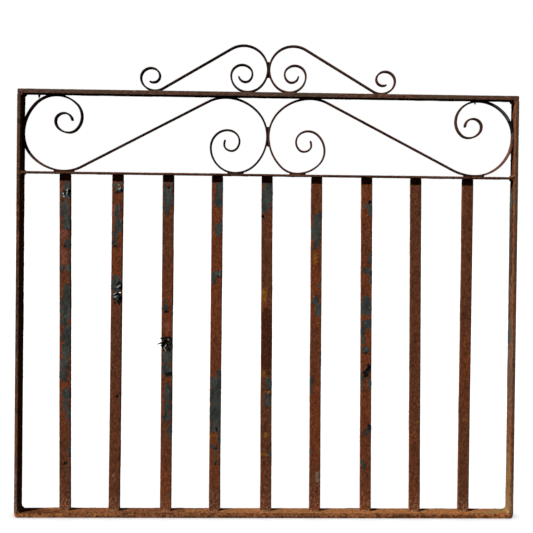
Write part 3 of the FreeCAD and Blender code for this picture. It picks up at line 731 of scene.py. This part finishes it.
def rusted_steel(name, look):
    """Rusted flat bar, with the paint, primer, ochre rust, dark spots, painted shadows and painted shade
    that its mesh's layers mark.
    """
    box = Paintbox(name)
    stretch = look["stretch"]
    mottle = box.noise(9 * MM, 4, 0.6, stretch, 2.0)
    grain = box.noise(2.4 * MM, 3, 0.7, look["grain_stretch"], 5.0)
    coarse = box.noise(4.2 * MM, 3, 0.6, look["grain_stretch"], 30.0)
    tear = box.noise(3.2 * MM, 4, 0.6, EVEN, 21.0)
    tear = box.calc("MULTIPLY", box.calc("SUBTRACT", tear, 0.5), 0.9)
    shade = rust_ground(box, look, mottle, grain, coarse)
    shade = rust_specks(box, look, shade)
    shade = rust_marks(box, look, shade, grain, coarse, tear)
    film = box.window(box.calc("ADD", box.layer("paint"), tear), 0.42, 0.56)
    bleed = box.window(box.noise(4.5 * MM, 4, 0.65, stretch, 25.0), 0.60, 0.70, 0.0, 0.75)
    film = box.calc("MULTIPLY", film, box.calc("SUBTRACT", 1.0, bleed))
    shade = box.blend(film, shade, paint_colour(box, stretch))
    # Near black where soot_and_shadow lies: real dark spots, and painted shadows of the flakes and rails.
    soot_and_shadow = box.window(box.calc("ADD", box.layer("soot_and_shadow"), tear), 0.3, 0.6)
    shade = box.blend(soot_and_shadow, shade, colour(SOOT_AND_SHADOW))
    roughness = box.window(film, 0.0, 1.0, 0.92, 0.62)
    grit = box.window(box.noise(1.1 * MM, 3, 0.7, EVEN, 33.0), 0.35, 0.75)
    relief = box.calc("ADD", box.calc("MULTIPLY", grain, 0.8), box.calc("MULTIPLY", mottle, 0.8))
    relief = box.calc("ADD", relief, box.calc("MULTIPLY", grit, 0.45))
    relief = box.calc("MULTIPLY", relief, box.window(film, 0.0, 1.0, 1.0, 0.35))
    return box.finish(shade, roughness, relief, 0.7 * MM, 0.12)


# What each kind of bar looks like: hex colours, strengths from 0 to 1, and where noise starts to show.
STEEL = {
    "rust": ("6c361b", "5d341f", "351a0d"), "mottle": 0.6, "grain": 0.48, "coarse": 0.30, "speck": 0.66,
    "foot": 0.10, "orange": "a8683c", "dust": 0.66, "dust_colour": "8a6e58", "pit": 0.70, "grime_and_shade": 0.8,
    "primer": "8a5342", "ochre": "9c661a", "stretch": (1, 1, 2.4), "grain_stretch": (1, 1, 1.8),
}
STILE = dict(STEEL, rust=("663c22", "583e2e", "2f1a12"), dust=0.60, primer="86492c", ochre="8a6436",
             stretch=(1, 1, 4.0), grain_stretch=(1, 1, 3.0))
TOP = dict(STILE, rust=("5e3d2d", "584236", "2a1710"), speck=0.70, orange="8c5c3a",
           stretch=(4.0, 1, 1), grain_stretch=(2.5, 1, 1))
SILL = dict(STEEL, rust=("9c6038", "7c4c2e", "3a2013"), mottle=0.85, grain=0.58, coarse=0.50,
            speck=0.60, foot=0.0, orange="b87840", pit=0.64, primer="cc8850", ochre="a58a58",
            stretch=(2, 1, 1), grain_stretch=(1.3, 1, 1))
MID = dict(TOP, rust=("5e3320", "4a2c1e", "26140d"), primer="7e5240", dust=0.66)
SCROLL = dict(STEEL, rust=("4a2a1e", "2b1b15", "140d0a"), speck=0.72, orange="7c4a2c", dust=0.72,
              primer="8a5a4a", stretch=(1.6, 1, 1.6), grain_stretch=(1.2, 1, 1.2))
WELD = dict(STEEL, rust=("7a5034", "5a3c2a", "2a1810"), speck=0.62, orange="a87848", dust=0.66,
            ochre="94804c", stretch=EVEN, grain_stretch=EVEN)


def flake_paint(name, face, rim):
    """A lifted paint flake: dull on its flat, with a chalky broken edge and underside."""
    box = Paintbox(name)
    cloud = box.window(box.noise(4 * MM, 4, 0.65), 0.35, 0.65)
    shade = box.blend(cloud, colour(face), colour(rim))
    streak = box.window(box.noise(1.6 * MM, 3, 0.7, (1, 1, 2.5), 3.0), 0.5, 0.75, 0.0, 0.6)
    shade = box.blend(streak, shade, colour(rim))
    return box.finish(shade, box.window(cloud, 0.0, 1.0, 0.7, 0.5), cloud, 0.2 * MM, 0.4)


def pale_floor():
    """A plain, nearly white floor with faint broad clouds."""
    box = Paintbox("pale_floor")
    cloud = box.window(box.noise(0.8, 4, 0.5), 0.3, 0.7)
    shade = box.blend(cloud, (0.86, 0.86, 0.86, 1), (0.90, 0.90, 0.90, 1))
    return box.finish(shade, box.window(cloud, 0, 1, 0.8, 0.9), cloud, 0.1 * MM)


# ---------------------------------------------------------------- putting the gate together

# edge is the radius along the bar's corners; step and row are the spacing of points round and along it.
# The next six are heights or depths of relief, wander is how far the bar strays from its line, swell how
# far rust has thickened each face, and scatter how high the noise must be for hidden paint to remain.
BAR = {"edge": 0.7 * MM, "step": 1.6 * MM, "row": 1.6 * MM, "lump": 0.16 * MM, "grain": 0.10 * MM,
       "pit": 0.50 * MM, "film": 0.30 * MM, "curl": 0.80 * MM, "nibble": 0.25 * MM, "wander": 0.35 * MM,
       "swell": 0.0, "scatter": 0.22}
FOOT_ROUND = 6 * MM  # radius of the bottom rail's outer lower corners


def dress(piece, node, material):
    """Gives a piece its material, hangs it from the root body, and hides the CAD node that it stands in
    for, if any.
    """
    piece.data.materials.append(material)
    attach(piece, "root")
    if node:
        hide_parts(node)


def make_slats():
    """The nine upright slats, all of one material, each with its own marks and tone."""
    steel = rusted_steel("slat_rust", STEEL)
    for number, slat in enumerate(SLATS):
        ends, wide, deep = straight_bar(slat, 2)
        look = dict(BAR, row=1.3 * MM, step=1.25 * MM, swell=0.35 * MM, seed=3.7 * number)
        piece = worn_bar(slat + "_rusted", ends, wide, deep, SLAT_MARKS[slat], look, "height",
                         SLAT_TONES[slat])
        dress(piece, slat, steel)


def make_frame():
    """The stiles and rails, each with a material of its own."""
    # For each bar: the axis it runs along, its look, what its marks count, and its swelling in mm.
    sides = {"left_stile": (2, STILE, "height", 0.4), "right_stile": (2, STILE, "height", 0.4),
             "top_rail": (0, TOP, "x", 0.0), "bottom_rail": (0, SILL, "x", 0.1),
             "mid_rail": (0, MID, "x", -0.3)}
    for number, (node, (axis, colours, measure, swell)) in enumerate(sides.items()):
        ends, wide, deep = straight_bar(node, axis)
        look = dict(BAR, seed=50 + 4.1 * number, wander=0.2 * MM, swell=swell * MM)
        foot_round = FOOT_ROUND if node == "bottom_rail" else 0.0
        piece = worn_bar(node + "_rusted", ends, wide, deep, FRAME_MARKS[node], look, measure,
                         foot_round=foot_round)
        dress(piece, node, rusted_steel(node + "_rust", colours))


def make_scrolls():
    """The four scrolls of thin bar, with little relief."""
    steel = rusted_steel("scroll_rust", SCROLL)
    for number, node in enumerate(SCROLLS):
        path, thick, deep = bent_bar(node)
        look = dict(BAR, edge=0.6 * MM, step=1.4 * MM, lump=0.05 * MM, pit=0.15 * MM, nibble=0.1 * MM,
                    grain=0.04 * MM, film=0.1 * MM, curl=0.1 * MM, wander=0.0, swell=0.2 * MM,
                    scatter=0.30, seed=90 + 5.3 * number)
        piece = worn_bar(node + "_rusted", path, thick, deep, SCROLL_MARKS.get(node, {}), look,
                         tone=0.4 if node.endswith("right") else -0.4)
        dress(piece, node, steel)


# A tack between the left panel scroll and the top rail, and a drip under the right one: the nearest stile,
# how far the drop is from that stile's inner face and below the top rail, and its half sizes, all in mm.
DROPS = {"scroll_tack": ("left_stile", 30.1, 3.0, (1.5, 3, 4.5)),
         "scroll_drip": ("right_stile", 72.7, 4.8, (1.3, 2, 3.2))}


def drop_place(stile, inward, below):
    """The middle of a weld drop, in mm."""
    low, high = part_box(stile)
    side = high[0] / MM + inward if stile == "left_stile" else low[0] / MM - inward
    under_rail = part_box("top_rail")[0][2] / MM
    return side, -DROP_FORWARD, under_rail - below


def make_welds():
    """The weld beads in their five nodes, darker on the scrolls, and the two drops."""
    steel = rusted_steel("weld_rust", WELD)
    dark_steel = rusted_steel("scroll_weld_rust", dict(SCROLL, stretch=EVEN, speck=0.8))
    look = {"bevel": 0.5 * MM, "divisions": 3, "step": 0.9 * MM, "swell": 0.1 * MM, "lump": 0.7 * MM,
            "ripple": 0.12 * MM, "ochre": [(448, 10, 4, 4)]}
    for node in WELDS:
        shade = dark_steel if node == "scroll_welds" else steel
        dress(worn_weld(node, look), node, shade)
    for name, (stile, inward, below, size) in DROPS.items():
        drop = weld_drop(name, drop_place(stile, inward, below), size)
        dress(drop, None, dark_steel)


# name, slat, across, height, (reach, breadth), turn and curl as paint_flake takes them, and the paint;
# shaded_black is near-black painted shade
FLAKES = [
    ("slat_1_flake_left", "slat_1", -6, 587, (9, 2.2), 55, 50, "white"),
    ("slat_1_flake_right", "slat_1", 1, 587, (10, 2.2), 60, 50, "white"),
    ("slat_1_flake_low", "slat_1", -6, 585, (6, 1.8), 3, 40, "white"),
    ("slat_1_flake_broad", "slat_1", 2.5, 600, (7, 7), -38, 110, "grey"),
    ("slat_2_flake_top", "slat_2", -4, 609, (11, 1.5), -12, 40, "pale"),
    ("slat_2_flake_under", "slat_2", -3, 602, (10, 1.5), -20, 40, "pale"),
    ("slat_2_flake_arc", "slat_2", 1, 605, (8, 7), -62, 60, "grey"),
    ("slat_2_flake_spot", "slat_2", 7, 424, (7, 3), -128, 60, "white"),
    ("slat_2_flake_high", "slat_2", 3, 424, (7, 9), -62, 150, "grey"),
    ("slat_2_flake_bright", "slat_2", 2, 410, (7, 2.2), 4, 45, "white"),
    ("slat_2_flake_left", "slat_2", -4, 411, (7, 8), -58, 130, "grey"),
    ("slat_2_flake_bar", "slat_2", -1, 395, (12, 3.2), 53, 35, "white"),
    ("slat_2_flake_edge", "slat_2", -8, 399, (6, 1.6), 48, 35, "pale"),
    ("slat_2_flake_low", "slat_2", -3, 408, (11, 9), -52, 120, "grey"),
    # The shaded_black flakes are coloured near black as painted shade, for sheets standing in shade.
    ("slat_3_flake_broad", "slat_3", 3, 314, (16, 18), 152, 62, "shaded_black"),
    ("slat_3_flake_spike", "slat_3", -7, 319, (10, 3.5), 196, 25, "shaded_black"),
    ("slat_3_flake_hook", "slat_3", -7, 325, (6, 4), 150, 45, "shaded_black"),
    ("slat_3_flake_streak", "slat_3", 3.5, 325, (17, 3), -118, 40, "pale"),
    ("slat_3_flake_thin", "slat_3", -6, 310, (10, 1.5), -55, 20, "pale"),
    ("slat_3_flake_right", "slat_3", 5, 306, (18, 10), 78, 55, "shaded_black"),
    ("slat_4_flake", "slat_4", 5, 452, (11, 1.5), -80, 30, "pale"),
    ("slat_5_flake", "slat_5", -6, 553, (5, 6), 170, 60, "shaded_black"),
    ("slat_7_flake_top", "slat_7", 6, 580, (5, 6), 120, 60, "shaded_black"),
    ("slat_7_flake_low", "slat_7", 5, 265, (13, 9), 112, 45, "shaded_black"),
    ("slat_7_flake_edge", "slat_7", -3.5, 269, (13, 1.2), 50, 12, "shaded_black"),
    ("slat_7_flake_dot", "slat_7", 3.5, 271, (2.5, 2), 45, 40, "pale"),
    ("slat_7_flake_foot", "slat_7", 7, 161, (5, 6), 110, 50, "shaded_black"),
]


def make_flakes():
    """The lifted paint flakes, each with its paint's colour above (near-black painted shade on the
    shaded_black ones) and a paler or browner underside.
    """
    # flake_shaded_black is near-black painted shade.
    paints = {"grey": flake_paint("flake_grey", "363b38", "5c625d"),
              "shaded_black": flake_paint("flake_shaded_black", "100f0e", "26211e"),
              "pale": flake_paint("flake_pale", "6e6259", "b0a59a"),
              "white": flake_paint("flake_white", "9a9a94", "eef2f0")}
    underside = flake_paint("flake_underside", "8f8f88", "d8dcda")
    brown_underside = flake_paint("flake_underside_brown", "3c2e26", "8c7c70")
    for number, (name, slat, across, height, size, turn, curl, paint) in enumerate(FLAKES):
        piece = paint_flake(name, slat, across, height, size, turn, curl, 2.3 * number)
        dress(piece, None, paints[paint])
        piece.data.materials.append(brown_underside if paint == "shaded_black" else underside)


# ---------------------------------------------------------------- stage, lights and camera

def add_sun(name, way, strength, spread):
    """A sun lamp that shines that way; spread is how large it looks, as an angle."""
    lamp = bpy.data.lights.new(name, "SUN")
    lamp.energy = strength
    lamp.angle = spread
    holder = bpy.data.objects.new(name, lamp)
    holder.rotation_euler = way.to_track_quat("-Z", "Y").to_euler()
    bpy.context.scene.collection.objects.link(holder)
    return holder


def make_stage():
    """The floor, the lights and the white surroundings."""
    mesh = bpy.data.meshes.new("floor")
    half = FLOOR_HALF
    corners = [(-half, -half, 0), (half, -half, 0), (half, half, 0), (-half, half, 0)]
    mesh.from_pydata(corners, [], [(0, 1, 2, 3)])
    floor = add_piece("floor", mesh)
    mesh.materials.append(pale_floor())
    # The white floor shows to the camera but doesn't brighten the gate's own shadows.
    floor.visible_diffuse = False
    floor.visible_glossy = False
    lamps = [add_sun("key", KEY_WAY, KEY_STRENGTH, KEY_SPREAD)]
    for name, facts in FILLS.items():
        lamps.append(add_sun(name, *facts))
        lamps[-1].visible_glossy = False
    for lamp in lamps:
        share = bpy.data.collections.new(lamp.name + "_skips")
        share.objects.link(floor)
        share.collection_objects[0].light_linking.link_state = "EXCLUDE"
        lamp.light_linking.receiver_collection = share
    sky = add_sun("floor_light", Vector((0, 0, -1)), FLOOR_STRENGTH, math.radians(120))
    only = bpy.data.collections.new("floor_light_only")
    only.objects.link(floor)
    sky.light_linking.receiver_collection = only
    world = bpy.data.worlds.new("white_studio")
    world.use_nodes = True
    world.node_tree.nodes["Background"].inputs["Color"].default_value = (1, 1, 1, 1)
    world.cycles_visibility.diffuse = False
    world.cycles_visibility.glossy = False
    bpy.context.scene.world = world
    bpy.context.scene.view_settings.view_transform = "Standard"


def make_camera():
    """The photograph's camera, with depth of field left off."""
    lens = bpy.data.cameras.new("camera")
    lens.lens = CAMERA_LENS
    lens.sensor_width = 36.0
    lens.shift_x, lens.shift_y = CAMERA_SHIFT
    camera = bpy.data.objects.new("camera", lens)
    turned = Matrix.Rotation(-CAMERA_TURN, 4, "Z") @ Matrix.Rotation(math.pi / 2 - CAMERA_DIP, 4, "X")
    camera.matrix_world = Matrix.Translation(CAMERA_PLACE) @ turned @ Matrix.Rotation(CAMERA_ROLL, 4, "Z")
    bpy.context.scene.collection.objects.link(camera)
    bpy.context.scene.camera = camera


make_camera()
make_stage()
make_frame()
make_slats()
make_scrolls()
make_welds()
make_flakes()
